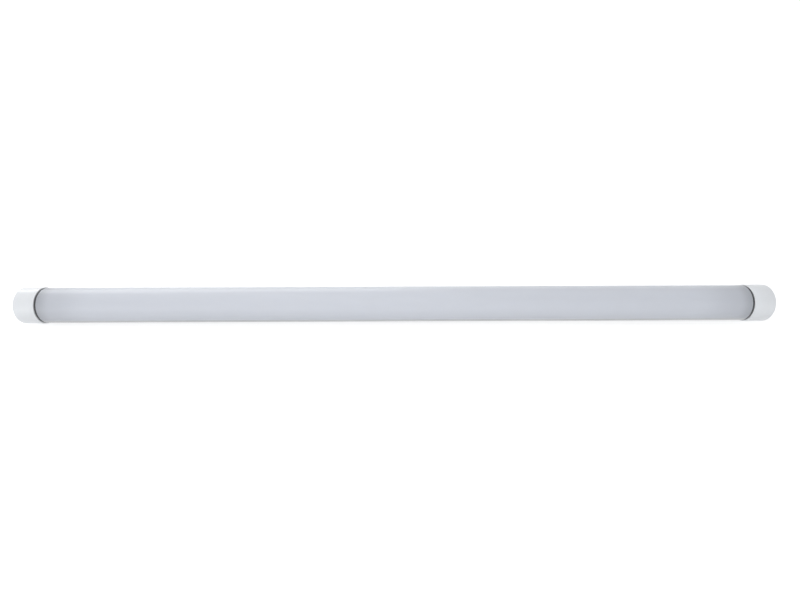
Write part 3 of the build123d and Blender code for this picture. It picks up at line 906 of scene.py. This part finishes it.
def sky():
    """A soft, slightly cool room light, stronger in front and on the left. Camera and gloss see white."""
    world = bpy.data.worlds.new("sky")
    bpy.context.scene.world = world
    world.use_nodes = True
    tree = world.node_tree
    tree.nodes.clear()
    output = tree.nodes.new("ShaderNodeOutputWorld")
    mix = tree.nodes.new("ShaderNodeMixShader")
    room = tree.nodes.new("ShaderNodeBackground")
    room.inputs["Color"].default_value = (*SKY_COLOUR, 1)
    direction = tree.nodes.new("ShaderNodeTexCoord").outputs["Generated"]
    lean = tree.nodes.new("ShaderNodeVectorMath")
    lean.operation = "DOT_PRODUCT"
    lean.inputs[1].default_value = SKY_LEAN
    strength = tree.nodes.new("ShaderNodeMath")
    strength.inputs[1].default_value = SKY_STRENGTH
    tree.links.new(direction, lean.inputs[0])
    tree.links.new(lean.outputs["Value"], strength.inputs[0])
    tree.links.new(strength.outputs["Value"], room.inputs["Strength"])
    white = tree.nodes.new("ShaderNodeBackground")
    white.inputs["Color"].default_value = (1, 1, 1, 1)
    tree.links.new(background_rays(tree), mix.inputs["Fac"])
    tree.links.new(room.outputs["Background"], mix.inputs[1])
    tree.links.new(white.outputs["Background"], mix.inputs[2])
    tree.links.new(mix.outputs["Shader"], output.inputs["Surface"])


def soft_light(name, place, size, power, target=(0, 0, 0), in_gloss=True):
    """A rectangular soft box that faces the target. With in_gloss it also shows in glossy surfaces."""
    data = bpy.data.lights.new(name, "AREA")
    data.shape = "RECTANGLE"
    data.size, data.size_y = size
    data.energy = power
    light = bpy.data.objects.new(name, data)
    light.location = place
    light.rotation_euler = (Vector(target) - Vector(place)).to_track_quat("-Z", "Y").to_euler()
    light.visible_camera = False
    light.visible_glossy = in_gloss
    bpy.context.scene.collection.objects.link(light)


def lights():
    """Four soft boxes: behind on the left, in front, overhead, and one for the face of the right cap."""
    soft_light("back_left", (-0.45, 0.90, 0.26), size=(1.1, 0.30), power=4.2, target=(-0.15, 0, 0))
    soft_light("front_strip", (-0.2, -0.80, 0.42), size=(1.7, 0.16), power=1.6)
    soft_light(
        "overhead", (-0.10, 0, 0.50), size=(0.5, 0.5), power=1.1, target=(-0.10, 0, 0), in_gloss=False
    )
    soft_light(
        "right_end", (1.0, 0, 0.06), size=(0.3, 0.1), power=1.1, target=(FACE_X, 0, 0), in_gloss=False
    )


def camera():
    """The camera of the picture, which looks down on the tube from its front."""
    data = bpy.data.cameras.new("camera")
    data.lens = LENS
    data.sensor_width = SENSOR_W
    data.shift_x = -OBJECT_RIGHT_PX / PICTURE_W
    data.shift_y = OBJECT_DOWN_PX / PICTURE_W
    data.clip_start = 0.01
    viewer = bpy.data.objects.new("camera", data)
    rise = radians(CAMERA_ELEVATION)
    place = Vector((0, -CAMERA_DISTANCE * cos(rise), CAMERA_DISTANCE * sin(rise)))
    tilt = Matrix.Rotation(pi / 2 - rise, 4, "X") @ Matrix.Rotation(radians(CAMERA_ROLL), 4, "Z")
    viewer.matrix_world = Matrix.Translation(place) @ tilt
    bpy.context.scene.collection.objects.link(viewer)
    bpy.context.scene.camera = viewer


def picture_settings():
    """Colours go to the picture as they are, so that the white ground stays white."""
    bpy.context.scene.view_settings.view_transform = "Standard"


paint_inner_nodes()
heat_sink()
cover()
end_caps()
seal_rings()
contact_pins()
cap_screws()
ground()
sky()
lights()
camera()
picture_settings()
